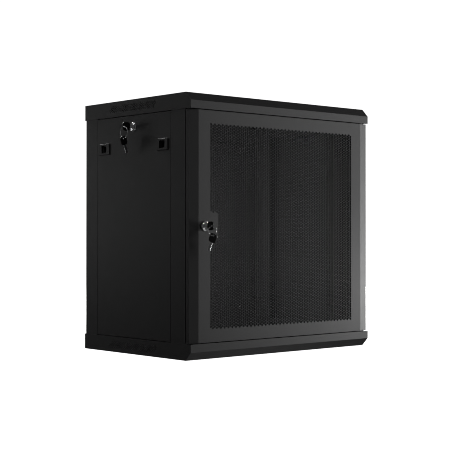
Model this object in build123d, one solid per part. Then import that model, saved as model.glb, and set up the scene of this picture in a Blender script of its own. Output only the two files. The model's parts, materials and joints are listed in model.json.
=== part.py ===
"""Wall-mounted 19-inch network rack cabinet, 12 units high, built as separate sheet-metal pieces.

Frame: +X to the right seen from the front, +Y to the back, +Z up, millimetres.
The origin is the centre of the cabinet's underside; the door faces -Y.
The door is shut but not locked, and the side panels' bolts are drawn back, so every piece can move.
"""

import os
from math import cos, hypot, pi, sin

from build123d import *

# Cabinet
width = 600.0
depth = 450.0
height = 635.0
units = 12
unit_height = 44.45
middle_z = height / 2

# Sheet thicknesses and clearances
cover_sheet = 1.2
post_sheet = 1.5
panel_sheet = 1.0
door_sheet = 1.2
rail_sheet = 2.0
seat_gap = 0.1
running_gap = 0.06
hole_gap = 0.2

# Screw and nut sizes: shank radius, head radius or nut width, head or nut height
m4_screw = (2.0, 3.6, 2.2)
m5_screw = (2.5, 4.5, 3.0)
m6_screw = (3.0, 5.5, 3.3)
m5_nut = (8.0, 4.0)
m6_nut = (10.0, 5.0)

# Roof and floor pans
flange_height = 39.0
chamfer_depth = 19.5
chamfer_height = 20.0
front_lip = 22.0
side_lip = 17.0
vent_hole_radius = 1.9
vent_column_pitch = 4.9
vent_row_pitch = 5.67
vent_low_z = 606.8
vent_height = 19.5
vent_length = 194.0
vent_lean = 18.0
vent_centre_y = 11.5
stud_radius = 2.5
stud_length = 9.0

# Cable entries, fan places and foot holes
cable_slot_size = (300.0, 90.0)
cable_slot_y = 145.0
rear_slot_size = (340.0, 70.0)
rear_slot_z = 155.0
cover_side_margin = 18.0
cover_end_margin = 3.0
fan_pitch = 105.0
fan_hole_radius = 2.25
fan_spacing = 240.0
fan_y = -20.0
fan_rings = 6
fan_ring_pitch = 8.2
fan_air_hole_radius = 2.75
foot_spacing = (490.0, 330.0)
foot_hole_radius = 5.2

# Corner posts
post_outer_x = 298.6
post_front_y = -201.5
post_rear_y = 221.4
front_post_width = 56.0
rear_post_width = 52.6
post_flange = 30.6
post_lip_x = 276.0
post_lip = 20.0
post_end_gap = 0.2

# Rail supports and 19-inch rails
support_outer_x = post_lip_x - seat_gap
support_inner_x = 251.1
support_height = 25.0
support_offset = 272.5
support_front_y = -190.0
support_rear_y = 206.0
rail_opening = 450.8
hole_spacing = 465.1
square_hole = 9.5
holes_in_unit = (6.35, 22.225, 38.1)
rail_outer_x = support_inner_x - seat_gap
rail_leg = 36.0
rail_overrun = 19.0
rail_bolt_inset = 18.0
front_rail_y = -145.0
rear_rail_y = 150.0
front_rail_travel = (-20.0, 50.0)
rear_rail_travel = (-50.0, 20.0)

# Side panels
panel_low_z = 40.6
panel_high_z = 594.4
panel_edge_gap = 1.4
panel_flange = 10.0
panel_front_y = post_front_y + front_post_width + panel_edge_gap
panel_rear_y = post_rear_y - rear_post_width - panel_edge_gap
panel_centre_y = (panel_front_y + panel_rear_y) / 2

# Slide latches: sizes run along the panel, then up it, then through it
latch_offset = 124.0
latch_z = 516.0
bezel_size = (46.0, 29.0, 3.0)
latch_body_size = (38.0, 25.0, 10.0)
window_size = (22.0, 19.0)
channel_size = (31.6, 18.8, 7.0)
slider_size = (24.0, 18.4, 6.5)
finger_hole_size = (13.0, 15.0)
tip_size = (12.0, 5.0)
tip_depth = 4.5

# Door
door_front_y = -221.7
door_edge_y = -218.0
door_back_y = -205.5
door_half_width = 299.5
door_flat_half_width = 274.5
door_low_z = 40.9
door_high_z = 594.1
door_hem = 10.0
hinge_x = 292.0
hinge_y = -213.0
hinge_pin_radius = 3.0
stiffener_x = (243.5, 272.5)
stiffener_depth = 8.0
stiffener_sheet = 1.0
stiffener_end_gap = 20.0
stiffener_lock_gap = 22.0
bumper_x = 292.1
bumper_offset = 215.0
bumper_radius = 5.0

# Cam locks, in a frame whose Z points out of the panel and whose Y points up
bezel_radius = 12.0
bezel_stand_out = 3.4
lock_body_radius = 9.5
lock_flat = 8.0
plug_radius = 6.0
cam_reach = 35.0
cam_width = 14.0
cam_sheet = 2.0
lock_nut = (22.0, 4.0)
door_lock_x = -255.0
door_lock_z = 318.0
door_lock_body = 21.7
side_lock_y = 10.0
side_lock_z = 566.0
side_lock_body = 16.0

# Keys and their rings
key_blade = (2.0, 7.4, 22.0)
key_bow = (3.4, 21.0, 21.6)
key_bow_corner = 6.5
key_hole_radius = 2.8
key_hole_z = 17.4
key_bow_start = 10.6
ring_wire = 0.7
ring_drop = 1.4
spare_drop = 0.7
# each ring: radius, then its turn about the vertical in degrees
door_ring = (10.5, -16.0)
side_ring = (13.5, 6.0)
# how each spare key hangs, in degrees: its place round the ring from the lowest point,
# its turn about the vertical, then its lean in its own plane
door_spare_hang = (20.0, 15.0, 22.0)
side_spare_hang = (-15.0, 10.0, 19.0)

# Back panel and wall mounting
back_sheet = 1.2
back_panel_half_width = 296.0
back_panel_margin = 6.0
wall_hole_spacing = 450.0
wall_hole_radius = 4.5
wall_rail_half_length = 262.0
wall_rail_height = 40.0
wall_rail_sheet = 3.0
back_screw_offset = 200.0


# ---------------------------------------------------------------- building blocks


def block(x_range, y_range, z_range):
    """A plain block between two corners, given in either order."""
    spans = [sorted(pair) for pair in (x_range, y_range, z_range)]
    sizes = [high - low for low, high in spans]
    centre = [(high + low) / 2 for low, high in spans]
    return Pos(*centre) * Box(*sizes)


def rod(point, axis, radius, length):
    """A cylinder that starts at point and runs along axis for length."""
    return Solid.make_cylinder(radius, length, Plane(origin=point, z_dir=axis))


def hex_nut(point, axis, nut, bore_radius):
    """A hexagonal nut, its width and height in nut, that starts at point and runs along axis."""
    across_flats, thickness = nut
    section = RegularPolygon(across_flats / 2, 6, major_radius=False) - Circle(bore_radius)
    return extrude(Plane(origin=point, z_dir=axis) * section, amount=thickness)


def screw(point, axis, size, length):
    """A pan-head screw: the shank runs from point along axis, the head stands behind point."""
    shank_radius, head_radius, head_height = size
    back = Vector(*point) - Vector(*axis) * head_height
    head = rod(back, axis, head_radius, head_height)
    drive = rod(back, axis, shank_radius * 0.6, head_height * 0.6)
    return head + rod(point, axis, shank_radius, length) - drive


def outline(points):
    """A closed flat shape through plane points."""
    return make_face(Polyline(*points, close=True))


def folded(points, thickness):
    """The section of a sheet folded along points, thickened to the left of travel."""
    normals = []
    for (x0, y0), (x1, y1) in zip(points, points[1:]):
        length = hypot(x1 - x0, y1 - y0)
        normals.append((-(y1 - y0) / length, (x1 - x0) / length))
    inner = []
    for index, (x, y) in enumerate(points):
        before = normals[max(index - 1, 0)]
        after = normals[min(index, len(normals) - 1)]
        mean = (before[0] + after[0], before[1] + after[1])
        scale = 2 * thickness / (mean[0] ** 2 + mean[1] ** 2)
        inner.append((x + mean[0] * scale, y + mean[1] * scale))
    return outline(list(points) + inner[::-1])


def extruded_x(section, low, high):
    """A section in the YZ plane carried between two X places."""
    return extrude(Plane.YZ.offset(low) * section, amount=high - low)


def extruded_y(section, low, high):
    """A section in the XZ plane carried between two Y places."""
    return extrude(Plane.XZ.offset(-low) * section, amount=low - high)


def extruded_z(section, low, high):
    """A plan section raised between two heights."""
    return extrude(Plane.XY.offset(low) * section, amount=high - low)


def perforated_sheet(plane, corners, holes, thickness):
    """A flat sheet on plane with round holes, given as (x, y, radius) on that plane."""
    edge = Wire.make_polygon([plane.from_local_coords((x, y, 0)) for x, y in corners], close=True)
    rings = []
    for x, y, radius in holes:
        centre = plane.from_local_coords((x, y, 0))
        ring_plane = Plane(origin=centre, x_dir=plane.x_dir, z_dir=plane.z_dir)
        rings.append(Wire([Edge.make_circle(radius, ring_plane)]))
    return Solid.extrude(Face(edge, rings), plane.z_dir * thickness)


def slot_y(x_range, y_range, z, half_width):
    """A slot along Y with round ends, cut across X; y_range holds the end centres."""
    start, length = x_range[0], x_range[1] - x_range[0]
    middle = block(x_range, y_range, (z - half_width, z + half_width))
    ends = [rod((start, y, z), (1, 0, 0), half_width, length) for y in y_range]
    return middle + ends[0] + ends[1]


def mirrored(shape):
    """The same piece on the other side of the cabinet."""
    return mirror(shape, about=Plane.YZ)


def turned_over(shape):
    """The same piece upside down: the floor is the roof pan turned over."""
    return mirror(shape, about=Plane.XY.offset(middle_z))


def merged(pieces):
    """One piece made of several touching or overlapping solids."""
    result = pieces[0]
    for piece in pieces[1:]:
        result = result + piece
    return result


def save(name, *shapes):
    """Writes one named piece, or a group of like pieces as separate solids."""
    solids = [solid for shape in shapes for solid in shape.solids()]
    shape = solids[0] if len(solids) == 1 else Compound(children=solids)
    export_step(shape, f"parts/{name}.step")


# ---------------------------------------------------------------- roof and floor pans


def post_centres():
    """Where the studs of the roof and floor pass through the posts' end tabs."""
    x = post_outer_x - post_flange / 2
    front = post_front_y + front_post_width / 2
    rear = post_rear_y - rear_post_width / 2
    return [(side * x, y) for side in (-1, 1) for y in (front, rear)]


def vent_holes(lean):
    """Staggered round vent holes in a leaning parallelogram, as places on the YZ plane."""
    holes = []
    columns = int((vent_length + abs(lean)) / vent_column_pitch / 2) + 1
    rows = int(vent_height / vent_row_pitch) + 1
    for column in range(-columns, columns + 1):
        y = vent_centre_y + column * vent_column_pitch
        for row in range(rows):
            rise = vent_hole_radius + (row + (column % 2) / 2) * vent_row_pitch
            centre = vent_centre_y + lean * (0.5 - rise / vent_height)
            inside = rise + vent_hole_radius < vent_height + 0.5
            if inside and abs(y - centre) < vent_length / 2:
                holes.append((y, vent_low_z + rise, vent_hole_radius))
    return holes


def pan(lean, plate_holes):
    """A roof pan: chamfered nose, flange and lips all round, side vents, studs welded inside."""
    low = height - flange_height
    front = -depth / 2
    chamfer_y = front + chamfer_depth
    rear = depth / 2
    side_x = width / 2
    nose = folded(
        [
            (front + front_lip, low),
            (front, low),
            (front, height - chamfer_height),
            (chamfer_y, height),
            (chamfer_y + 1, height),
        ],
        -cover_sheet,
    )
    plate_plane = Plane(origin=(0, 0, height - cover_sheet), x_dir=(1, 0, 0), z_dir=(0, 0, 1))
    plate_corners = [(-side_x, chamfer_y), (side_x, chamfer_y), (side_x, rear), (-side_x, rear)]
    side_plane = Plane(origin=(side_x - cover_sheet, 0, 0), x_dir=(0, 1, 0), z_dir=(1, 0, 0))
    side_corners = [
        (rear, low),
        (rear, height),
        (chamfer_y, height),
        (front, height - chamfer_height),
        (front, low),
    ]
    side = perforated_sheet(side_plane, side_corners, vent_holes(lean), cover_sheet)
    lip = block(
        (side_x - side_lip, side_x), (panel_front_y, panel_rear_y), (low, low + cover_sheet)
    )
    pieces = [
        perforated_sheet(plate_plane, plate_corners, plate_holes, cover_sheet),
        extruded_x(nose, -side_x, side_x),
        side,
        mirrored(side),
        lip,
        mirrored(lip),
        block((-side_x, side_x), (rear - cover_sheet, rear), (low, height)),
    ]
    for x, y in post_centres():
        pieces.append(rod((x, y, height - cover_sheet / 2), (0, 0, -1), stud_radius, stud_length))
    return merged(pieces)


def fan_holes():
    """Four screw holes and rings of air holes for each of the two fan places."""
    holes = []
    for centre_x in (-fan_spacing / 2, fan_spacing / 2):
        for dx in (-fan_pitch / 2, fan_pitch / 2):
            for dy in (-fan_pitch / 2, fan_pitch / 2):
                holes.append((centre_x + dx, fan_y + dy, fan_hole_radius))
        for ring in range(1, fan_rings + 1):
            radius = ring * fan_ring_pitch
            for step in range(6 * ring):
                angle = 2 * pi * step / (6 * ring)
                place = (centre_x + radius * cos(angle), fan_y + radius * sin(angle))
                holes.append((*place, fan_air_hole_radius))
    return holes


def foot_holes():
    """Four holes for feet or castors."""
    half_x, half_y = foot_spacing[0] / 2, foot_spacing[1] / 2
    return [(x, y, foot_hole_radius) for x in (-half_x, half_x) for y in (-half_y, half_y)]


def cover_screws(slot_size, centre_y):
    """Places of the four screws that hold a cable entry's cover, around its middle."""
    x = (slot_size[0] + cover_side_margin) / 2
    y = slot_size[1] / 4
    return [(side * x, centre_y + end * y) for side in (-1, 1) for end in (-1, 1)]


def cut_cable_slot(cover, low_z):
    """Cuts the cable opening and its screw holes through the sheet above low_z."""
    half_x, half_y = cable_slot_size[0] / 2, cable_slot_size[1] / 2
    high_z = low_z + 2 * cover_sheet
    y_range = (cable_slot_y - half_y, cable_slot_y + half_y)
    cover -= block((-half_x, half_x), y_range, (low_z, high_z))
    for x, y in cover_screws(cable_slot_size, cable_slot_y):
        cover -= rod((x, y, low_z), (0, 0, 1), m4_screw[0] + hole_gap, 2 * cover_sheet)
    return cover


def make_covers():
    """Roof and floor pans, with the hinge pins' holes in their front lips."""
    roof = cut_cable_slot(pan(vent_lean, fan_holes()), height - 1.5 * cover_sheet)
    lip_z = height - flange_height
    roof -= rod((hinge_x, hinge_y, lip_z - 1), (0, 0, 1), hinge_pin_radius + running_gap, 4)
    floor = turned_over(pan(-vent_lean, foot_holes()))
    floor = cut_cable_slot(floor, -cover_sheet / 2)
    floor -= rod((hinge_x, hinge_y, flange_height + 1), (0, 0, -1), hinge_pin_radius, 4)
    save("top_cover", roof)
    save("bottom_cover", floor)


# ---------------------------------------------------------------- frame


def support_heights():
    """Middle heights of the lower and upper rail supports."""
    return (middle_z - support_offset, middle_z + support_offset)


def post(points, lip_bolt_y):
    """A right-hand corner post: a channel folded along points, with a tab across each end."""
    low = cover_sheet + post_end_gap
    high = height - low
    shape = extruded_z(folded(points, post_sheet), low, high)
    y_values = [y for _, y in points]
    y_range = (min(y_values), max(y_values))
    for z in (low, high - post_sheet):
        shape += block((post_lip_x, post_outer_x), y_range, (z, z + post_sheet))
    stud = (post_outer_x - post_flange / 2, sum(y_range) / 2, 0)
    shape -= rod(stud, (0, 0, 1), stud_radius + hole_gap, height)
    for z in support_heights():
        shape -= rod((post_lip_x - 2, lip_bolt_y, z), (1, 0, 0), m5_screw[0] + hole_gap, 6)
    return shape


def bolt_slot(y):
    """The slot in a post's flange that a side panel's bolt slides into."""
    x = post_outer_x - tip_depth
    half_x = tip_size[1] / 2 + 1.0
    half_z = tip_size[0] / 2 + 1.5
    return block((x - half_x, x + half_x), (y - 3, y + 3), (latch_z - half_z, latch_z + half_z))


def back_screw_heights():
    """Heights of the screws between the back panel and the rear posts."""
    return (middle_z - back_screw_offset, middle_z, middle_z + back_screw_offset)


def bumper_heights():
    """Heights of the door's rubber stops."""
    return (middle_z - bumper_offset, middle_z + bumper_offset)


def make_posts():
    """Four corner posts; the flange of the front left one also stops the door lock's cam."""
    inner_x = post_outer_x - post_flange
    back_y = post_front_y + front_post_width
    front_points = [
        (inner_x, post_front_y),
        (post_outer_x, post_front_y),
        (post_outer_x, back_y),
        (post_lip_x, back_y),
        (post_lip_x, back_y - post_lip),
    ]
    front = post(front_points, back_y - post_lip / 2) - bolt_slot(back_y)
    front_y = post_rear_y - rear_post_width
    rear_points = [
        (post_lip_x, front_y + post_lip),
        (post_lip_x, front_y),
        (post_outer_x, front_y),
        (post_outer_x, post_rear_y),
        (inner_x, post_rear_y),
    ]
    rear = post(rear_points, front_y + post_lip / 2) - bolt_slot(front_y)
    for z in back_screw_heights():
        hole_x = post_outer_x - post_flange / 2
        rear -= rod((hole_x, post_rear_y - 3, z), (0, 1, 0), m4_screw[0] + hole_gap, 6)
    front_left = mirrored(front)
    for z in bumper_heights():
        front_left -= rod((-bumper_x, post_front_y - 1, z), (0, 1, 0), 2.0, 4)
    save("post_front_right", front)
    save("post_front_left", front_left)
    save("post_rear_right", rear)
    save("post_rear_left", mirrored(rear))


def make_frame_nuts():
    """Nuts on the roof's and floor's studs, under the posts' end tabs."""
    tab = cover_sheet + post_end_gap + post_sheet + seat_gap
    nuts = []
    for x, y in post_centres():
        nuts.append(hex_nut((x, y, height - tab), (0, 0, -1), m5_nut, stud_radius + running_gap))
        nuts.append(hex_nut((x, y, tab), (0, 0, 1), m5_nut, stud_radius + running_gap))
    save("frame_nuts", *nuts)


def rail_bolt_range(rail_y, inward, travel):
    """The front and rear places that a rail's bolt can take along its support."""
    bolt_y = rail_y + inward * rail_bolt_inset
    return (bolt_y + travel[0], bolt_y + travel[1])


def make_rail_supports():
    """Four slotted channels between front and rear posts that carry the rails."""
    supports, bolts = [], []
    lip_bolts = (
        post_front_y + front_post_width - post_lip / 2,
        post_rear_y - rear_post_width + post_lip / 2,
    )
    for z, upward in zip(support_heights(), (-1, 1)):
        open_z = z - upward * support_height / 2
        shut_z = z + upward * support_height / 2
        points = [
            (support_inner_x, open_z),
            (support_inner_x, shut_z),
            (support_outer_x, shut_z),
            (support_outer_x, open_z),
        ]
        shape = extruded_y(folded(points, -upward * post_sheet), support_front_y, support_rear_y)
        web = (support_inner_x - 1, support_inner_x + 4)
        for slot in (
            rail_bolt_range(front_rail_y, 1, front_rail_travel),
            rail_bolt_range(rear_rail_y, -1, rear_rail_travel),
        ):
            shape -= slot_y(web, slot, z, m6_screw[0] + 0.3)
        for y in lip_bolts:
            shape -= rod((support_outer_x - 4, y, z), (1, 0, 0), m5_screw[0] + hole_gap, 6)
            head_x = post_lip_x + post_sheet + seat_gap
            bolt = screw((head_x, y, z), (-1, 0, 0), m5_screw, 11)
            nut_x = support_outer_x - post_sheet - seat_gap
            nut = hex_nut((nut_x, y, z), (-1, 0, 0), m5_nut, m5_screw[0] + running_gap)
            bolts += [bolt, nut, mirrored(bolt), mirrored(nut)]
        supports += [shape, mirrored(shape)]
    save("rail_supports", *supports)
    save("support_bolts", *bolts)


# ---------------------------------------------------------------- 19-inch rails


def rail(face_y, inward):
    """A right-hand 19-inch rail: a flange with square holes at face_y and a leg behind it."""
    inner_x = rail_opening / 2
    leg_y = face_y + inward * rail_leg
    points = [(inner_x, face_y), (rail_outer_x, face_y), (rail_outer_x, leg_y)]
    low = middle_z - units * unit_height / 2
    high = middle_z + units * unit_height / 2
    shape = extruded_z(folded(points, inward * rail_sheet), low - rail_overrun, high + rail_overrun)
    hole_x = hole_spacing / 2
    half = square_hole / 2
    y_range = (face_y - 3, face_y + 3)
    for unit in range(units):
        for place in holes_in_unit:
            z = low + unit * unit_height + place
            shape -= block((hole_x - half, hole_x + half), y_range, (z - half, z + half))
    bolt_y = face_y + inward * rail_bolt_inset
    for z in support_heights():
        shape -= rod((rail_outer_x - 4, bolt_y, z), (1, 0, 0), m6_screw[0] + hole_gap, 6)
    return shape


def rail_bolts(face_y, inward):
    """The two bolts, with their nuts, that clamp a right-hand rail to its supports."""
    pieces = []
    bolt_y = face_y + inward * rail_bolt_inset
    for z in support_heights():
        head_x = rail_outer_x - rail_sheet - seat_gap
        pieces.append(screw((head_x, bolt_y, z), (1, 0, 0), m6_screw, 12))
        nut_x = support_inner_x + post_sheet + seat_gap
        pieces.append(hex_nut((nut_x, bolt_y, z), (1, 0, 0), m6_nut, m6_screw[0] + running_gap))
    return pieces


def make_rails():
    """Front and rear pairs of rails with their bolts."""
    for place, face_y, inward in (("front", front_rail_y, 1), ("rear", rear_rail_y, -1)):
        right = rail(face_y, inward)
        bolts = rail_bolts(face_y, inward)
        save(f"rail_{place}_right", right)
        save(f"rail_{place}_left", mirrored(right))
        save(f"rail_bolts_{place}_right", *bolts)
        save(f"rail_bolts_{place}_left", *[mirrored(piece) for piece in bolts])


# ---------------------------------------------------------------- side panels and latches


def latch_places():
    """Middle of each latch along the panel, and the way its bolt points."""
    return (
        ("front", panel_centre_y - latch_offset, -1),
        ("rear", panel_centre_y + latch_offset, 1),
    )


def latch_block(centre_y, size, z_range, shift=0.0):
    """A block in a left-hand latch: size along and up the panel, z_range outwards from its face."""
    x_range = (-post_outer_x - z_range[0], -post_outer_x - z_range[1])
    y_range = (centre_y + shift - size[0] / 2, centre_y + shift + size[0] / 2)
    return block(x_range, y_range, (latch_z - size[1] / 2, latch_z + size[1] / 2))


def latch_tip(centre_y, way, start, end, gap):
    """The tongue of a latch bolt between two distances from the latch's middle, or its hole."""
    half_x = tip_size[1] / 2 + gap
    half_z = tip_size[0] / 2 + gap
    x = -post_outer_x + tip_depth
    y_range = (centre_y + way * start, centre_y + way * end)
    return block((x - half_x, x + half_x), y_range, (latch_z - half_z, latch_z + half_z))


def make_left_panel():
    """The left side panel: a shallow tray with holes for its lock and two latches."""
    inner_x = -post_outer_x + panel_flange
    y_range = (panel_front_y, panel_rear_y)
    z_range = (panel_low_z, panel_high_z)
    panel = block((-post_outer_x, inner_x), y_range, z_range)
    panel -= block(
        (-post_outer_x + panel_sheet, inner_x + 1),
        (panel_front_y + panel_sheet, panel_rear_y - panel_sheet),
        (panel_low_z + panel_sheet, panel_high_z - panel_sheet),
    )
    lock = (-post_outer_x - 1, side_lock_y, side_lock_z)
    panel -= rod(lock, (1, 0, 0), lock_body_radius + hole_gap, 4)
    hole_size = (latch_body_size[0] + 2 * hole_gap, latch_body_size[1] + 2 * hole_gap)
    for _, centre_y, way in latch_places():
        panel -= latch_block(centre_y, hole_size, (1, -2 * panel_sheet))
        edge = (panel_rear_y - panel_front_y) / 2 - latch_offset
        panel -= latch_tip(centre_y, way, edge - 3, edge + 3, 0.8)
    return panel


def make_left_housings():
    """The two plastic latch housings of the left panel."""
    housings = []
    for _, centre_y, way in latch_places():
        bezel = latch_block(centre_y, bezel_size, (0, bezel_size[2]))
        bezel = fillet(bezel.edges().filter_by(Axis.X), 3.0)
        outer = bezel.edges().group_by(Axis.X)[0]
        bezel = chamfer(outer, 1.2)
        body = latch_block(centre_y, latch_body_size, (0, -latch_body_size[2]))
        housing = bezel + body
        housing -= latch_block(centre_y, window_size, (bezel_size[2] + 1, -2))
        housing -= latch_block(centre_y, channel_size, (-1, -1 - channel_size[2]))
        housing -= latch_tip(centre_y, way, channel_size[0] / 2 - 1, latch_body_size[0], 0.3)
        housings.append(housing)
    return housings


def left_bolt(centre_y, way):
    """A latch bolt of the left panel, drawn back: slider with a finger hole, and its tongue."""
    rest_shift = way * (slider_size[0] - channel_size[0]) / 2 + way * 0.3
    depth_range = (-1.3, -1.3 - slider_size[2])
    slider = latch_block(centre_y, slider_size, depth_range, rest_shift)
    finger_shift = rest_shift + way * 2.5
    slider -= latch_block(centre_y, finger_hole_size, (0, -latch_body_size[2]), finger_shift)
    reach = (panel_rear_y - panel_front_y) / 2 - latch_offset - 0.3
    start = slider_size[0] - channel_size[0] / 2 - 0.5
    return slider + latch_tip(centre_y, way, start, reach, 0.0)


def make_side_panels():
    """Both side panels with their latch housings and bolts."""
    panel = make_left_panel()
    housings = make_left_housings()
    save("side_panel_left", panel)
    save("side_panel_right", mirrored(panel))
    save("latch_housings_left", *housings)
    save("latch_housings_right", *[mirrored(piece) for piece in housings])
    for place, centre_y, way in latch_places():
        bolt = left_bolt(centre_y, way)
        save(f"latch_bolt_{place}_left", bolt)
        save(f"latch_bolt_{place}_right", mirrored(bolt))


# ---------------------------------------------------------------- door and hinges


def make_door():
    """The door skin and the channels that stiffen it behind its solid borders."""
    edge, flat = door_half_width, door_flat_half_width
    shell = [
        (-edge, door_back_y),
        (-edge, door_edge_y),
        (-flat, door_front_y),
        (flat, door_front_y),
        (edge, door_edge_y),
        (edge, door_back_y),
    ]
    hem = [(-edge + door_hem, door_back_y)]
    section = folded(hem + shell + [(edge - door_hem, door_back_y)], door_sheet)
    skin = extruded_z(section, door_low_z, door_high_z)
    for cap_z, hem_z in (
        (door_low_z, door_low_z),
        (door_high_z - door_sheet, door_high_z - door_hem),
    ):
        skin += extruded_z(outline(shell), cap_z, cap_z + door_sheet)
        lip_y = (door_back_y - door_sheet, door_back_y)
        skin += block((-edge + 1, edge - 1), lip_y, (hem_z, hem_z + door_hem))
    lock = (door_lock_x, door_front_y - 1, door_lock_z)
    skin -= rod(lock, (0, 1, 0), lock_body_radius + hole_gap, 4)
    top_hole = (hinge_x, hinge_y, door_high_z - 3)
    skin -= rod(top_hole, (0, 0, 1), hinge_pin_radius + running_gap, 5)
    skin -= rod((hinge_x, hinge_y, door_low_z - 1), (0, 0, 1), bush_radius() + running_gap, 4)
    save("door_skin", skin)

    back_y = door_front_y + door_sheet + seat_gap
    low_x, high_x = stiffener_x
    points = [
        (low_x, back_y),
        (low_x, back_y + stiffener_depth),
        (high_x, back_y + stiffener_depth),
        (high_x, back_y),
    ]
    section = folded(points, -stiffener_sheet)
    low = door_low_z + stiffener_end_gap
    high = door_high_z - stiffener_end_gap
    below_lock = mirrored(extruded_z(section, low, door_lock_z - stiffener_lock_gap))
    above_lock = mirrored(extruded_z(section, door_lock_z + stiffener_lock_gap, high))
    save("door_stiffeners", extruded_z(section, low, high), below_lock, above_lock)


def bush_radius():
    """Outer radius of the lower hinge bush, kept inside the door's folded edge."""
    return hinge_pin_radius + 1.2


def make_hinges():
    """A sprung pin at the top of the door and a fixed pin with a bush at the bottom."""
    axis = (0, 0, 1)
    pin_bore = hinge_pin_radius + running_gap
    top = door_high_z
    plate_low, plate_high = top - 32.0, top - 6.0
    bracket = block((298.2, 296.7), (-216.5, -207.5), (plate_low, plate_high))
    for z in (plate_low, plate_high - post_sheet):
        bracket += block((284.0, 298.2), (-216.5, -207.5), (z, z + post_sheet))
    bracket -= rod((hinge_x, hinge_y, plate_low - 1), axis, pin_bore, 40)
    save("upper_hinge_bracket", bracket)

    pin_low = plate_low - 12.0
    pin_high = height - flange_height + cover_sheet + 5.0
    collar_z = top - 14.0
    pin = rod((hinge_x, hinge_y, pin_low), axis, hinge_pin_radius, pin_high - pin_low)
    pin += rod((hinge_x, hinge_y, collar_z), axis, hinge_pin_radius + 1.2, 2.0)
    pin += rod((hinge_x, hinge_y, pin_low - 3.0), axis, hinge_pin_radius + 1.6, 4.0)
    pin = chamfer(pin.edges().group_by(Axis.Z)[-1], 1.0)
    save("upper_hinge_pin", pin)

    spring_low = plate_low + post_sheet + 0.55
    coil = Helix(pitch=2.3, height=collar_z - spring_low - 0.55, radius=hinge_pin_radius + 0.65)
    wire = Plane(origin=coil @ 0, z_dir=coil % 0) * Circle(0.45)
    save("upper_hinge_spring", Pos(hinge_x, hinge_y, spring_low) * sweep(wire, path=coil))

    lip_z = flange_height
    low_pin = rod((hinge_x, hinge_y, lip_z - 6), axis, hinge_pin_radius, 24)
    low_pin += rod((hinge_x, hinge_y, lip_z), axis, hinge_pin_radius + 2.0, door_low_z - lip_z - 0.2)
    low_pin = chamfer(low_pin.edges().group_by(Axis.Z)[-1], 1.0)
    save("lower_hinge_pin", low_pin)

    bush = rod((hinge_x, hinge_y, door_low_z), axis, bush_radius(), 8)
    bush += rod((hinge_x, hinge_y, door_low_z + door_sheet + seat_gap), axis, bush_radius() + 0.5, 1.5)
    bush -= rod((hinge_x, hinge_y, door_low_z - 1), axis, pin_bore, 12)
    save("lower_hinge_bush", bush)


def make_bumpers():
    """Two rubber stops on the front left post that the door's hem closes onto."""
    stops = []
    reach = post_front_y - door_back_y - hole_gap
    for z in bumper_heights():
        stop = rod((-bumper_x, post_front_y, z), (0, -1, 0), bumper_radius, reach)
        stop = chamfer(stop.edges().group_by(Axis.Y)[0], 1.0)
        stops.append(stop + rod((-bumper_x, post_front_y, z), (0, 1, 0), 1.9, 4))
    save("door_bumpers", *stops)


# ---------------------------------------------------------------- locks and keys


def key():
    """A flat key in its own frame: blade down -Z from the origin, bow above it in the YZ plane."""
    thickness, bow_width, bow_height = key_bow
    bow = Pos(0, 0, bow_height / 2) * Box(thickness, bow_width, bow_height)
    bow = fillet(bow.edges().filter_by(Axis.X), key_bow_corner)
    bow = fillet(bow.faces().filter_by(Axis.X).edges(), 0.8)
    bow -= rod((-5, 0, key_hole_z), (1, 0, 0), key_hole_radius, 10)
    blade_thickness, blade_width, blade_length = key_blade
    half = blade_width / 2
    notches = 4
    tip_back = (-half + 1.5, -blade_length + 1.0)
    points = [(half, 0.0), (half, -blade_length + 2.5), (0.0, -blade_length), tip_back]
    step = (blade_length - 8.0) / notches
    for notch in range(notches):
        z = -blade_length + 2.5 + notch * step
        points += [(-half, z), (-half + 1.2 + 0.4 * (notch % 2), z + step / 2)]
    points += [(-half, -5.0), (-half, 0.0)]
    blade = extruded_x(outline(points), -blade_thickness / 2, blade_thickness / 2)
    return [bow, blade]


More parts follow.
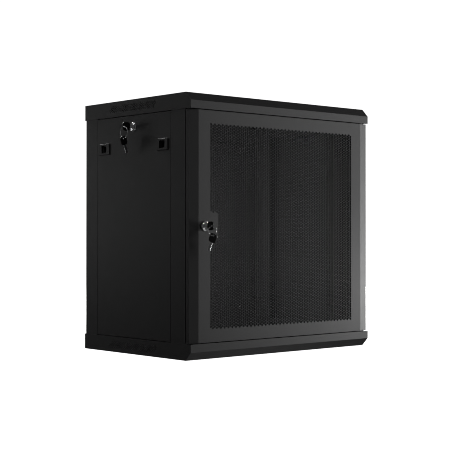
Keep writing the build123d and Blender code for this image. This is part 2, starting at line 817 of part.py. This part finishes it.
def lock_pieces(body_length, ring_shape, spare_hang):
    """A cam lock with key, ring and spare key. Its Z points out of the panel and its Y up."""
    bore = plug_radius + running_gap
    profile = [
        (bore, -body_length),
        (lock_body_radius, -body_length),
        (lock_body_radius, 0.0),
        (bezel_radius, 0.0),
        (bezel_radius, 1.0),
        (bezel_radius - 0.5, bezel_stand_out - 1.1),
        (bezel_radius - 1.4, bezel_stand_out - 0.3),
        (bezel_radius - 2.6, bezel_stand_out),
        (bore + 1.4, bezel_stand_out - 0.4),
        (bore, bezel_stand_out - 1.2),
    ]
    housing = revolve(Plane.XZ * outline(profile), axis=Axis.Z)
    for side in (-1, 1):
        x_range = (side * lock_flat, side * (lock_body_radius + 1))
        housing -= block(x_range, (-10, 10), (-body_length - 1, -3.0))
    nut = hex_nut((0, 0, -door_sheet - seat_gap), (0, 0, -1), lock_nut, lock_body_radius + hole_gap)

    cam_top = -body_length - 0.4
    shank, boss = 2.0, 7.0
    plug_face = bezel_stand_out - 1.4
    plug = rod((0, 0, -body_length - 0.2), (0, 0, 1), plug_radius, plug_face + body_length + 0.2)
    half_boss = boss / 2
    plug += block((-half_boss, half_boss), (-half_boss, half_boss), (0, cam_top - cam_sheet))
    plug -= rod((0, 0, cam_top - cam_sheet - 1), (0, 0, 1), shank + running_gap, 7)
    keyway_x = key_blade[0] / 2 + seat_gap
    keyway_y = key_blade[1] / 2 + seat_gap
    keyway_low = key_bow_start - key_blade[2] - 0.5
    plug -= block((-keyway_x, keyway_x), (-keyway_y, keyway_y), (keyway_low, bezel_stand_out))

    half = cam_width / 2
    arm = block((-half, half), (-cam_reach, 0), (cam_top, cam_top - cam_sheet))
    cam = arm + rod((0, 0, cam_top), (0, 0, -1), half, cam_sheet)
    hole = half_boss + seat_gap
    cam -= block((-hole, hole), (-hole, hole), (cam_top + 1, cam_top - cam_sheet - 1))
    screw_z = cam_top - cam_sheet - seat_gap
    cam_screw = screw((0, 0, screw_z), (0, 0, 1), (shank, 5.0, 2.4), 5)

    seated_key = [Pos(0, 0, key_bow_start) * piece for piece in key()]
    ring_radius, ring_turn = ring_shape
    key_hole = Pos(0, -ring_drop, key_bow_start + key_hole_z)
    ring_frame = key_hole * Rot(0, ring_turn, 0) * Pos(0, -ring_radius, 0)
    ring = ring_frame * Solid.make_torus(ring_radius, ring_wire)
    return {
        "housing": [housing],
        "nut": [nut],
        "plug": [plug],
        "cam": [cam, cam_screw],
        "key": seated_key,
        "ring": [ring],
        "spare_key": spare_key(ring_frame, ring_radius, spare_hang),
    }


def spare_key(ring_frame, ring_radius, hang):
    """The spare key, hung by its bow's hole from a place near the lowest point of the ring."""
    place, turn, lean = hang
    wire = (ring_frame * Rot(0, 0, place) * Pos(0, -ring_radius, 0)).position
    upright = Plane(origin=wire - Vector(0, spare_drop, 0), x_dir=(1, 0, 0), z_dir=(0, 1, 0))
    hung = upright.location * Rot(0, 0, turn) * Rot(lean, 0, 0) * Pos(0, 0, -key_hole_z)
    return [hung * piece for piece in key()]


def make_locks():
    """The door's lock and one lock in each side panel."""
    door_plane = Plane(
        origin=(door_lock_x, door_front_y, door_lock_z), x_dir=(1, 0, 0), z_dir=(0, -1, 0)
    )
    side_plane = Plane(
        origin=(-post_outer_x, side_lock_y, side_lock_z), x_dir=(0, -1, 0), z_dir=(-1, 0, 0)
    )
    door_lock = lock_pieces(door_lock_body, door_ring, door_spare_hang)
    side_lock = lock_pieces(side_lock_body, side_ring, side_spare_hang)
    for role, pieces in door_lock.items():
        save(f"door_lock_{role}", *[door_plane.location * piece for piece in pieces])
    # a side lock's cam lies level when open, so that it points to the back
    for role, pieces in side_lock.items():
        turn = Rot(0, 0, -90) if role == "cam" else Rot(0, 0, 0)
        placed = [side_plane.location * turn * piece for piece in pieces]
        save(f"left_lock_{role}", *placed)
        save(f"right_lock_{role}", *[mirrored(piece) for piece in placed])


# ---------------------------------------------------------------- back panel and covers


def make_back():
    """Back panel with a cable opening, wall holes and the strips that strengthen them."""
    panel_y = post_rear_y + seat_gap
    panel = block(
        (-back_panel_half_width, back_panel_half_width),
        (panel_y, panel_y + back_sheet),
        (back_panel_margin, height - back_panel_margin),
    )
    half_x, half_z = rear_slot_size[0] / 2, rear_slot_size[1] / 2
    through = (panel_y - 1, panel_y + 3)
    panel -= block((-half_x, half_x), through, (rear_slot_z - half_z, rear_slot_z + half_z))
    rails = []
    for z in (middle_z - wall_hole_spacing / 2, middle_z + wall_hole_spacing / 2):
        strip = block(
            (-wall_rail_half_length, wall_rail_half_length),
            (post_rear_y, post_rear_y - wall_rail_sheet),
            (z - wall_rail_height / 2, z + wall_rail_height / 2),
        )
        for x in (-wall_hole_spacing / 2, wall_hole_spacing / 2):
            panel -= rod((x, panel_y - 1, z), (0, 1, 0), wall_hole_radius, 4)
            strip -= rod((x, post_rear_y - 6, z), (0, 1, 0), wall_hole_radius, 8)
        rails.append(strip)
    screws = []
    hole_radius = m4_screw[0] + hole_gap
    screw_y = panel_y + back_sheet
    for z in back_screw_heights():
        for x in (-post_outer_x + post_flange / 2, post_outer_x - post_flange / 2):
            panel -= rod((x, panel_y - 1, z), (0, 1, 0), hole_radius, 4)
            screws.append(screw((x, screw_y, z), (0, -1, 0), m4_screw, 6))
    for x, z in cover_screws(rear_slot_size, rear_slot_z):
        panel -= rod((x, panel_y - 1, z), (0, 1, 0), hole_radius, 4)
    save("back_panel", panel)
    save("wall_mount_rails", *rails)
    return screws


def cover_plate(slot_size, centre_y):
    """A cable entry's cover in plan, lying on the height zero plane."""
    half_x = slot_size[0] / 2 + cover_side_margin
    half_y = slot_size[1] / 2 + cover_end_margin
    plate = block((-half_x, half_x), (centre_y - half_y, centre_y + half_y), (0, cover_sheet))
    for x, y in cover_screws(slot_size, centre_y):
        plate -= rod((x, y, -1), (0, 0, 1), m4_screw[0] + hole_gap, 4)
    return plate


def make_cable_covers():
    """Covers over the cable openings of the roof, the floor and the back, with their screws."""
    inside = cover_sheet + seat_gap
    screws = []
    floor_plate = Pos(0, 0, inside) * cover_plate(cable_slot_size, cable_slot_y)
    for x, y in cover_screws(cable_slot_size, cable_slot_y):
        low = screw((x, y, inside + cover_sheet), (0, 0, -1), m4_screw, 2.4)
        screws += [low, turned_over(low)]
    save("bottom_cable_cover", floor_plate)
    save("top_cable_cover", turned_over(floor_plate))
    standing = Plane(origin=(0, post_rear_y, 0), x_dir=(1, 0, 0), z_dir=(0, -1, 0))
    save("rear_cable_cover", standing.location * cover_plate(rear_slot_size, rear_slot_z))
    for x, z in cover_screws(rear_slot_size, rear_slot_z):
        screws.append(screw((x, post_rear_y - cover_sheet, z), (0, 1, 0), m4_screw, 2.4))
    return screws


def main():
    os.makedirs("parts", exist_ok=True)
    make_covers()
    make_posts()
    make_frame_nuts()
    make_rail_supports()
    make_rails()
    make_side_panels()
    make_door()
    make_hinges()
    make_bumpers()
    make_locks()
    save("panel_screws", *make_back(), *make_cable_covers())


main()
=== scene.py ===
import json
import math

import bmesh
import bpy
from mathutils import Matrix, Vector


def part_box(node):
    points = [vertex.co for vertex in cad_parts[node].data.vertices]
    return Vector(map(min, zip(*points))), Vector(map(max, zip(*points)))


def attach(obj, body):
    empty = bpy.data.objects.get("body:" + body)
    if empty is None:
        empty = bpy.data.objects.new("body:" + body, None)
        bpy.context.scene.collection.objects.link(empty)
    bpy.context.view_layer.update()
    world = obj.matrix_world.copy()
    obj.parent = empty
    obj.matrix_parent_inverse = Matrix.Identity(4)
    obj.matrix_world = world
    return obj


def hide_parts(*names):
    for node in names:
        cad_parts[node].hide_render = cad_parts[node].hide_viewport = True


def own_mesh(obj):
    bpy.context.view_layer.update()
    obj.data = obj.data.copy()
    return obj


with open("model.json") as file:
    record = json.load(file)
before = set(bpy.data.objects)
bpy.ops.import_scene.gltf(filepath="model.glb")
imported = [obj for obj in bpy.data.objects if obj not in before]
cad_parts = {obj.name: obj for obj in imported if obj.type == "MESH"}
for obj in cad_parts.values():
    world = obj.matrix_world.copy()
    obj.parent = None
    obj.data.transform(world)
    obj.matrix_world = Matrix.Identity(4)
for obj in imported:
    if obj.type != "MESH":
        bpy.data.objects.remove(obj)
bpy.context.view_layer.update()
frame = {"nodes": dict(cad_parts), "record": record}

nodes = frame["nodes"]
record = frame["record"]
MM = 0.001

# ---------------------------------------------------------------- dimensions

# the perforated door
SHEET = 1.2 * MM
DOOR_LOW, DOOR_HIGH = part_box("door_skin")
FLAT_HALF_WIDTH = 274.5 * MM
EDGE_DROP = 3.7 * MM
HEM = 10.0 * MM
COLUMNS = 80
ROWS = 74
COLUMN_PITCH = 6.0 * MM
ROW_PITCH = 6.61 * MM
HOLE_ACROSS_FLATS = 6.0 * MM
LOCK_TAB_WIDTH = 26.0 * MM
LOCK_TAB_HEIGHT = 62.0 * MM
LOCK_HOLE_RADIUS = 9.7 * MM
LOCK_HOLE_SIDES = 32
SHARED_CORNER_GRID = 0.05 * MM

# the upper hinge's coil spring
SPRING_WIRE_RADIUS = 0.45 * MM
SPRING_PITCH = 2.3 * MM
SPRING_STEPS_PER_TURN = 20
SPRING_WIRE_SIDES = 8

# the black cards of painted shade behind the wall holes and under the foot holes
WALL_CARD = (580 * MM, 610 * MM)
WALL_CARD_GAP = 0.5 * MM
FLOOR_CARD = (570 * MM, 410 * MM)
FLOOR_CARD_Y = 10 * MM
FLOOR_CARD_Z = -0.3 * MM

# the studio: strengths are what the camera sees, just over white, and what lights the cabinet
FLOOR_SIZE = 40.0
FLOOR_Z = -0.5 * MM
WHITE_STRENGTH = 1.1
AMBIENT_STRENGTH = 0.055

# the camera, front left of the cabinet at half its height
CAMERA_PLACE = (-2.0242, -2.4411, 0.296)
CAMERA_YAW = 0.74846
CAMERA_PITCH = 0.00938
CAMERA_LENS = 94.98
CAMERA_SHIFT = (-0.1531, -0.0043)


# ---------------------------------------------------------------- materials


class Shader:
    """A material under construction, with short calls for the nodes it needs."""

    def __init__(self, name):
        self.material = bpy.data.materials.new(name)
        self.material.use_nodes = True
        self.tree = self.material.node_tree
        self.surface = self.tree.nodes["Principled BSDF"]
        self.coordinates = self.node("ShaderNodeTexCoord").outputs["Object"]

    def node(self, kind, **settings):
        made = self.tree.nodes.new(kind)
        for key, value in settings.items():
            setattr(made, key, value)
        return made

    def link(self, output, socket):
        self.tree.links.new(output, socket)

    def set(self, **values):
        for name, value in values.items():
            self.surface.inputs[name.replace("_", " ")].default_value = value

    def noise(self, size, detail=3.0, roughness=0.5, stretch=(1, 1, 1)):
        """Noise whose features are about size metres across; its output is a value near 0.5."""
        mapping = self.node("ShaderNodeMapping")
        mapping.inputs["Scale"].default_value = stretch
        self.link(self.coordinates, mapping.inputs["Vector"])
        made = self.node("ShaderNodeTexNoise")
        made.inputs["Scale"].default_value = 1.0 / size
        made.inputs["Detail"].default_value = detail
        made.inputs["Roughness"].default_value = roughness
        self.link(mapping.outputs["Vector"], made.inputs["Vector"])
        return made.outputs["Fac"]

    def cells(self, size):
        """Distance to the nearest of scattered points about size metres apart."""
        made = self.node("ShaderNodeTexVoronoi")
        made.inputs["Scale"].default_value = 1.0 / size
        self.link(self.coordinates, made.inputs["Vector"])
        return made.outputs["Distance"]

    def remap(self, value, low, high, to_low, to_high):
        made = self.node("ShaderNodeMapRange")
        made.inputs["From Min"].default_value = low
        made.inputs["From Max"].default_value = high
        made.inputs["To Min"].default_value = to_low
        made.inputs["To Max"].default_value = to_high
        self.link(value, made.inputs["Value"])
        return made.outputs["Result"]

    def mix(self, factor, first, second):
        """A colour between first and second."""
        made = self.node("ShaderNodeMix", data_type="RGBA")
        self.link(factor, made.inputs["Factor"])
        for socket, colour in (("A", first), ("B", second)):
            target = [i for i in made.inputs if i.name == socket and i.type == "RGBA"][0]
            if isinstance(colour, bpy.types.NodeSocket):
                self.link(colour, target)
            else:
                target.default_value = (*colour, 1.0)
        return [o for o in made.outputs if o.type == "RGBA"][0]

    def colour(self, output):
        self.link(output, self.surface.inputs["Base Color"])

    def rough(self, output):
        self.link(output, self.surface.inputs["Roughness"])

    def bump(self, height, distance, strength=1.0):
        made = self.node("ShaderNodeBump")
        made.inputs["Distance"].default_value = distance
        made.inputs["Strength"].default_value = strength
        self.link(height, made.inputs["Height"])
        self.link(made.outputs["Normal"], self.surface.inputs["Normal"])

    def sharp_edge_mask(self, radius):
        """Near 1 along sharp edges, 0 on flat sheet: how far a rounded normal leans."""
        bevel = self.node("ShaderNodeBevel", samples=4)
        bevel.inputs["Radius"].default_value = radius
        geometry = self.node("ShaderNodeNewGeometry")
        dot = self.node("ShaderNodeVectorMath", operation="DOT_PRODUCT")
        self.link(bevel.outputs["Normal"], dot.inputs[0])
        self.link(geometry.outputs["Normal"], dot.inputs[1])
        return self.remap(dot.outputs["Value"], 0.995, 0.85, 0.0, 1.0)


def powder_coat():
    """Fine-textured matte black powder coat, its colour a little paler along sharp edges as a painted
    highlight.
    """
    shader = Shader("powder_coat")
    # Painted highlight: the colour turns paler along sharp edges, standing in for light caught on the edges.
    pale_edge = shader.sharp_edge_mask(0.7 * MM)
    cloud = shader.noise(0.11, detail=4.0)
    base = shader.mix(cloud, (0.018, 0.018, 0.0185), (0.021, 0.021, 0.0215))
    shader.colour(shader.mix(pale_edge, base, (0.045, 0.045, 0.046)))
    grain = shader.noise(0.0007, detail=2.0)
    shader.rough(shader.remap(shader.noise(0.03, detail=5.0), 0.3, 0.7, 0.47, 0.5))
    shader.bump(grain, 0.00006)
    return shader.material


def black_steel():
    """Screws and nuts with a thin black oxide film, worn a little on their edges."""
    shader = Shader("black_steel")
    pale_edge = shader.sharp_edge_mask(0.4 * MM)
    base = shader.mix(shader.noise(0.004), (0.012, 0.012, 0.013), (0.022, 0.022, 0.022))
    shader.colour(shader.mix(pale_edge, base, (0.06, 0.06, 0.06)))
    shader.rough(shader.remap(shader.noise(0.0012), 0.3, 0.7, 0.35, 0.5))
    shader.bump(shader.noise(0.0005), 0.00002)
    return shader.material


def zinc_steel():
    """Bright zinc plate: faint blotches and fine drawn lines."""
    shader = Shader("zinc_steel")
    shader.set(Metallic=1.0)
    shader.colour(shader.mix(shader.noise(0.004), (0.62, 0.63, 0.65), (0.78, 0.78, 0.77)))
    shader.rough(shader.remap(shader.noise(0.0012, stretch=(1, 1, 8)), 0.3, 0.7, 0.38, 0.52))
    shader.bump(shader.noise(0.0006), 0.00003)
    return shader.material


def chrome():
    """Polished chrome with hairline handling marks."""
    shader = Shader("chrome")
    shader.set(Metallic=1.0)
    shader.colour(shader.mix(shader.noise(0.01), (0.8, 0.81, 0.82), (0.88, 0.88, 0.89)))
    shader.rough(shader.remap(shader.noise(0.0015, detail=6.0, stretch=(6, 1, 1)), 0.35, 0.7, 0.08, 0.2))
    shader.bump(shader.noise(0.0005), 0.000005)
    return shader.material


def moulded_plastic(name, dark, light, roughness):
    """Moulded plastic with a fine spark-eroded grain."""
    shader = Shader(name)
    shader.colour(shader.mix(shader.noise(0.02), dark, light))
    shader.rough(shader.remap(shader.noise(0.002), 0.3, 0.7, roughness - 0.04, roughness + 0.06))
    shader.bump(shader.cells(0.0006), 0.00004)
    return shader.material


def rubber():
    """Soft black rubber, slightly dusty."""
    shader = Shader("rubber")
    shader.colour(shader.mix(shader.noise(0.003), (0.012, 0.012, 0.012), (0.03, 0.03, 0.029)))
    shader.rough(shader.remap(shader.noise(0.001), 0.3, 0.7, 0.7, 0.9))
    shader.bump(shader.noise(0.0005), 0.00004)
    return shader.material


MATERIALS = {
    "powder_coat": powder_coat(),
    "black_steel": black_steel(),
    "zinc_steel": zinc_steel(),
    "chrome": chrome(),
    "latch_plastic": moulded_plastic("latch_plastic", (0.015, 0.015, 0.016), (0.02, 0.02, 0.02), 0.46),
    "key_plastic": moulded_plastic("key_plastic", (0.012, 0.012, 0.012), (0.02, 0.02, 0.02), 0.35),
    "nylon": moulded_plastic("nylon", (0.62, 0.6, 0.54), (0.74, 0.72, 0.67), 0.5),
    "rubber": rubber(),
}


def loose_parts(mesh):
    """Lists of the polygons that hang together, found through the places of their corners."""
    owner = {}

    def root(key):
        while owner.setdefault(key, key) != key:
            key = owner[key]
        return key

    places = [tuple(round(c / (0.01 * MM)) for c in v.co) for v in mesh.vertices]
    for polygon in mesh.polygons:
        first = root(places[polygon.vertices[0]])
        for index in polygon.vertices[1:]:
            owner[root(places[index])] = first
    parts = {}
    for polygon in mesh.polygons:
        parts.setdefault(root(places[polygon.vertices[0]]), []).append(polygon)
    return list(parts.values())


def steel_blade(mesh):
    """A key's blade, the smaller of its two solids, gets the second material."""
    mesh.materials.append(MATERIALS["zinc_steel"])
    blade = min(loose_parts(mesh), key=lambda part: sum(polygon.area for polygon in part))
    for polygon in blade:
        polygon.material_index = 1


def finish_cad_nodes():
    """Every CAD node gets its slot's material; keys get a steel blade besides."""
    for part in record["subparts"]:
        node = nodes[part["node"]]
        node.data.materials.clear()
        node.data.materials.append(MATERIALS[part["material_slot"]])
        if part["material_slot"] == "key_plastic":
            steel_blade(node.data)


# ---------------------------------------------------------------- perforated door skin


def new_piece(name, bm, material):
    """A mesh object made from bm, in metres in the frame's coordinates."""
    mesh = bpy.data.meshes.new(name)
    bm.to_mesh(mesh)
    bm.free()
    mesh.materials.append(material)
    piece = bpy.data.objects.new(name, mesh)
    bpy.context.scene.collection.objects.link(piece)
    return piece


def hexagon(centre_x, centre_z, half_width, side_x, half_height):
    """Six corners, flats at top and bottom, starting at the right."""
    return [
        (centre_x + half_width, centre_z),
        (centre_x + side_x, centre_z + half_height),
        (centre_x - side_x, centre_z + half_height),
        (centre_x - half_width, centre_z),
        (centre_x - side_x, centre_z - half_height),
        (centre_x + side_x, centre_z - half_height),
    ]


def lock_centre():
    """Middle of the door's lock."""
    low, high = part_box("door_lock_housing")
    return (low + high) / 2


def hole_centres():
    """Centres of the staggered holes; odd columns stand half a pitch lower, and none is in the lock's tab."""
    middle = (DOOR_LOW.z + DOOR_HIGH.z) / 2
    first_x = -(COLUMNS - 1) / 2 * COLUMN_PITCH
    first_z = middle + ((ROWS - 1) / 2 + 0.25) * ROW_PITCH
    tab_x = first_x - COLUMN_PITCH / 2 + LOCK_TAB_WIDTH
    lock_z = lock_centre().z
    for column in range(COLUMNS):
        x = first_x + column * COLUMN_PITCH
        for row in range(ROWS):
            z = first_z - row * ROW_PITCH - (column % 2) * ROW_PITCH / 2
            in_tab = x < tab_x and abs(z - lock_z) < LOCK_TAB_HEIGHT / 2
            if not in_tab:
                yield x, z


def perforated_field(bm, y):
    """The punched part of the sheet: a hexagonal cell of metal round each hole. Gives the cells' corners."""
    corner_offset = ROW_PITCH**2 / (8 * COLUMN_PITCH)
    cell = (COLUMN_PITCH / 2 + corner_offset, COLUMN_PITCH / 2 - corner_offset, ROW_PITCH / 2)
    hole_side = HOLE_ACROSS_FLATS / math.sqrt(3)
    hole = (hole_side, hole_side / 2, HOLE_ACROSS_FLATS / 2)
    shared = {}

    def corner(x, z):
        key = (round(x / SHARED_CORNER_GRID), round(z / SHARED_CORNER_GRID))
        if key not in shared:
            shared[key] = bm.verts.new((x, y, z))
        return shared[key]

    for x, z in hole_centres():
        outer = [corner(*point) for point in hexagon(x, z, *cell)]
        inner = [bm.verts.new((px, y, pz)) for px, pz in hexagon(x, z, *hole)]
        for i in range(6):
            j = (i + 1) % 6
            bm.faces.new((outer[i], outer[j], inner[j], inner[i]))
    return set(shared.values())


def loop_of_edges(bm, corners):
    """Edges that join the corners in a closed loop."""
    return [bm.edges.new(pair) for pair in zip(corners, corners[1:] + corners[:1])]


def flat_front(bm):
    """The door's flat front with its perforation and lock hole. Gives its four corners."""
    y = DOOR_LOW.y
    cell_corners = perforated_field(bm, y)
    rim = [e for e in bm.edges if e.is_boundary and e.verts[0] in cell_corners and e.verts[1] in cell_corners]
    outline = [
        (-FLAT_HALF_WIDTH, DOOR_LOW.z),
        (FLAT_HALF_WIDTH, DOOR_LOW.z),
        (FLAT_HALF_WIDTH, DOOR_HIGH.z),
        (-FLAT_HALF_WIDTH, DOOR_HIGH.z),
    ]
    corners = [bm.verts.new((x, y, z)) for x, z in outline]
    lock = lock_centre()
    lock_hole = []
    for step in range(LOCK_HOLE_SIDES):
        angle = 2 * math.pi * step / LOCK_HOLE_SIDES
        x = lock.x + LOCK_HOLE_RADIUS * math.cos(angle)
        z = lock.z + LOCK_HOLE_RADIUS * math.sin(angle)
        lock_hole.append(bm.verts.new((x, y, z)))
    edges = rim + loop_of_edges(bm, corners) + loop_of_edges(bm, lock_hole)
    bmesh.ops.triangle_fill(bm, use_beauty=True, use_dissolve=False, edges=edges)
    return corners


def folded_edges(bm, front_corners):
    """Sloped border, return and hem on each side; flange and hem at top and bottom."""
    low_z, high_z = DOOR_LOW.z, DOOR_HIGH.z
    back_y = DOOR_HIGH.y
    low_left, low_right, high_right, high_left = front_corners
    folds = {
        (-1, low_z): [low_left],
        (1, low_z): [low_right],
        (1, high_z): [high_right],
        (-1, high_z): [high_left],
    }
    for side in (-1, 1):
        edge_x = side * DOOR_HIGH.x
        for z in (low_z, high_z):
            folds[side, z].append(bm.verts.new((edge_x, DOOR_LOW.y + EDGE_DROP, z)))
            folds[side, z].append(bm.verts.new((edge_x, back_y, z)))
            folds[side, z].append(bm.verts.new((edge_x - side * HEM, back_y, z)))
    for side in (-1, 1):
        low, high = folds[side, low_z], folds[side, high_z]
        for i in range(3):
            bm.faces.new((low[i], low[i + 1], high[i + 1], high[i]))
    for z, inward in ((low_z, 1), (high_z, -1)):
        left, right = folds[-1, z], folds[1, z]
        bm.faces.new((left[0], *right, *reversed(left[1:])))
        hem_left = bm.verts.new((left[3].co.x, back_y, z + inward * HEM))
        hem_right = bm.verts.new((right[3].co.x, back_y, z + inward * HEM))
        bm.faces.new((left[3], right[3], hem_right, hem_left))


def make_door_skin():
    """The door's folded sheet, with every hole of its perforation cut."""
    bm = bmesh.new()
    folded_edges(bm, flat_front(bm))
    bmesh.ops.recalc_face_normals(bm, faces=bm.faces)
    if max(bm.faces, key=lambda f: f.calc_area()).normal.y > 0:
        bmesh.ops.reverse_faces(bm, faces=bm.faces)
    piece = new_piece("door_skin_perforated", bm, MATERIALS["powder_coat"])
    solid = piece.modifiers.new("sheet", "SOLIDIFY")
    solid.thickness = SHEET
    solid.offset = -1.0
    solid.use_even_offset = True
    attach(piece, "door")
    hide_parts("door_skin")


# ---------------------------------------------------------------- hinge spring


def make_hinge_spring():
    """The coil spring round the upper hinge pin, built as a fixed coil; the real one shortens as the pin is
    pulled down.
    """
    low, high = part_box("upper_hinge_spring")
    middle = (low + high) / 2
    coil_radius = (high.x - low.x) / 2 - SPRING_WIRE_RADIUS
    rise = high.z - low.z - 2 * SPRING_WIRE_RADIUS
    steps = round(SPRING_STEPS_PER_TURN * rise / SPRING_PITCH)
    bm = bmesh.new()
    rings = []
    for step in range(steps + 1):
        angle = 2 * math.pi * step / SPRING_STEPS_PER_TURN
        outward = Vector((math.cos(angle), math.sin(angle), 0))
        centre = Vector((middle.x, middle.y, low.z + SPRING_WIRE_RADIUS + rise * step / steps))
        centre += outward * coil_radius
        ring = []
        for side in range(SPRING_WIRE_SIDES):
            turn = 2 * math.pi * side / SPRING_WIRE_SIDES
            offset = outward * math.cos(turn) + Vector((0, 0, math.sin(turn)))
            ring.append(bm.verts.new(centre + offset * SPRING_WIRE_RADIUS))
        rings.append(ring)
    for first, second in zip(rings, rings[1:]):
        for side in range(SPRING_WIRE_SIDES):
            after = (side + 1) % SPRING_WIRE_SIDES
            bm.faces.new((first[side], first[after], second[after], second[side]))
    bm.faces.new(rings[0])
    bm.faces.new(rings[-1])
    bmesh.ops.recalc_face_normals(bm, faces=bm.faces)
    for face in bm.faces:
        face.smooth = len(face.verts) == 4
    piece = new_piece("hinge_spring_coil", bm, MATERIALS["zinc_steel"])
    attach(piece, "door")
    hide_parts("upper_hinge_spring")
    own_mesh(piece)


# ---------------------------------------------------------------- studio


def area_light(name, location, target, size, power):
    """A soft rectangular light that faces target."""
    data = bpy.data.lights.new(name, "AREA")
    data.shape = "RECTANGLE"
    data.size, data.size_y = size
    data.energy = power
    lamp = bpy.data.objects.new(name, data)
    lamp.location = location
    lamp.rotation_euler = (Vector(target) - Vector(location)).to_track_quat("-Z", "Y").to_euler()
    bpy.context.scene.collection.objects.link(lamp)
    return lamp


def painted_shade_card(name, size, location, rotation):
    """A black card of painted shade that only the camera sees, and only from its front."""
    bpy.ops.mesh.primitive_plane_add(size=1, location=location, rotation=rotation)
    card = bpy.context.object
    card.name = name
    card.scale = (*size, 1)
    material = bpy.data.materials.new(name)
    material.use_nodes = True
    tree = material.node_tree
    surface = tree.nodes["Principled BSDF"]
    # painted shade: a near-black colour in place of the shadow
    surface.inputs["Base Color"].default_value = (0.01, 0.01, 0.01, 1)
    surface.inputs["Roughness"].default_value = 0.9
    clear = tree.nodes.new("ShaderNodeBsdfTransparent")
    geometry = tree.nodes.new("ShaderNodeNewGeometry")
    path = tree.nodes.new("ShaderNodeLightPath")
    seen = tree.nodes.new("ShaderNodeMath")
    seen.operation = "SUBTRACT"
    seen.use_clamp = True
    tree.links.new(path.outputs["Is Camera Ray"], seen.inputs[0])
    tree.links.new(geometry.outputs["Backfacing"], seen.inputs[1])
    mix = tree.nodes.new("ShaderNodeMixShader")
    tree.links.new(seen.outputs["Value"], mix.inputs["Fac"])
    tree.links.new(clear.outputs["BSDF"], mix.inputs[1])
    tree.links.new(surface.outputs["BSDF"], mix.inputs[2])
    tree.links.new(mix.outputs["Shader"], tree.nodes["Material Output"].inputs["Surface"])
    card.data.materials.append(material)


def make_shade_cards():
    """Cards of painted shade behind the back panel and under the floor, standing in for the shadowed wall and
    the shadow under the cabinet, so that their holes look dark from inside.
    """
    low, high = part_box("back_panel")
    behind = (0, high.y + WALL_CARD_GAP, (low.z + high.z) / 2)
    under = (0, FLOOR_CARD_Y, FLOOR_CARD_Z)
    painted_shade_card("wall_shade_card", WALL_CARD, behind, (math.pi / 2, 0, 0))
    painted_shade_card("under_shade_card", FLOOR_CARD, under, (0, 0, 0))


def make_backdrop():
    """White surroundings for the camera, and dim ones for light and reflections."""
    scene = bpy.context.scene
    scene.view_settings.view_transform = "Standard"
    scene.cycles.filter_width = 1.0
    world = bpy.data.worlds.new("studio")
    scene.world = world
    world.use_nodes = True
    tree = world.node_tree
    background = tree.nodes["Background"]
    dim = tree.nodes.new("ShaderNodeBackground")
    dim.inputs["Color"].default_value = (1, 1, 1, 1)
    dim.inputs["Strength"].default_value = AMBIENT_STRENGTH
    background.inputs["Color"].default_value = (1, 1, 1, 1)
    background.inputs["Strength"].default_value = WHITE_STRENGTH
    path = tree.nodes.new("ShaderNodeLightPath")
    mix = tree.nodes.new("ShaderNodeMixShader")
    tree.links.new(path.outputs["Is Camera Ray"], mix.inputs["Fac"])
    tree.links.new(dim.outputs["Background"], mix.inputs[1])
    tree.links.new(background.outputs["Background"], mix.inputs[2])
    tree.links.new(mix.outputs["Shader"], tree.nodes["World Output"].inputs["Surface"])


def make_floor():
    """A white floor that casts no light or shadow on the cabinet."""
    bpy.ops.mesh.primitive_plane_add(size=FLOOR_SIZE, location=(0, 0, FLOOR_Z))
    floor = bpy.context.object
    floor.name = "floor"
    material = bpy.data.materials.new("floor_white")
    material.use_nodes = True
    surface = material.node_tree.nodes["Principled BSDF"]
    surface.inputs["Base Color"].default_value = (0.9, 0.9, 0.9, 1)
    surface.inputs["Roughness"].default_value = 0.9
    surface.inputs["Emission Color"].default_value = (1, 1, 1, 1)
    surface.inputs["Emission Strength"].default_value = WHITE_STRENGTH
    floor.data.materials.append(material)
    floor.visible_glossy = False
    floor.visible_diffuse = False
    floor.visible_shadow = False


def make_lights():
    """Light that grazes the door from the right, faint light on the left side, and lights behind."""
    middle = (0, 0, 0.32)
    area_light("key_high", (3.0, -1.7, 1.7), (0, 0, 0.45), (1.4, 0.8), 34)
    area_light("key_wide", (3.4, -1.6, 0.55), middle, (1.6, 1.0), 10)
    area_light("key_grazing", (3.4, -0.85, 0.26), (0, -0.2, 0.32), (0.5, 0.5), 32)
    area_light("floor_bounce", (1.3, -0.75, 0.06), (0.2, -0.22, 0.1), (0.8, 0.08), 5.2)
    area_light("from_below", (0.1, -0.45, -0.6), (0, -0.2, 0), (1.2, 0.4), 0.6)
    area_light("left_rear", (-1.0, 1.71, 0.45), (-0.3, 0, 0.32), (0.4, 0.7), 1.0)
    area_light("left_top", (-1.1, 0.3, 1.5), (-0.3, 0, 0.5), (0.8, 0.8), 3.0)
    area_light("right_rear", (3.2, 1.6, 0.9), middle, (1.6, 1.6), 70)
    area_light("rear_top", (0.3, 2.6, 2.4), middle, (1.8, 1.4), 90)
    inside = area_light("inside", (-0.06, -0.04, 0.32), (0.09, 0.26, 0.32), (0.26, 0.5), 1.9)
    inside.visible_camera = False
    inside.visible_glossy = False


def make_camera():
    """The camera looks along its yaw, from +Y towards +X, and its pitch."""
    data = bpy.data.cameras.new("camera")
    data.sensor_width = 36.0
    data.lens = CAMERA_LENS
    data.shift_x, data.shift_y = CAMERA_SHIFT
    camera = bpy.data.objects.new("camera", data)
    camera.location = CAMERA_PLACE
    level = math.cos(CAMERA_PITCH)
    forward = Vector((math.sin(CAMERA_YAW) * level, math.cos(CAMERA_YAW) * level, math.sin(CAMERA_PITCH)))
    camera.rotation_euler = forward.to_track_quat("-Z", "Y").to_euler()
    bpy.context.scene.collection.objects.link(camera)
    bpy.context.scene.camera = camera


finish_cad_nodes()
make_door_skin()
make_hinge_spring()
make_shade_cards()
make_backdrop()
make_floor()
make_lights()
make_camera()
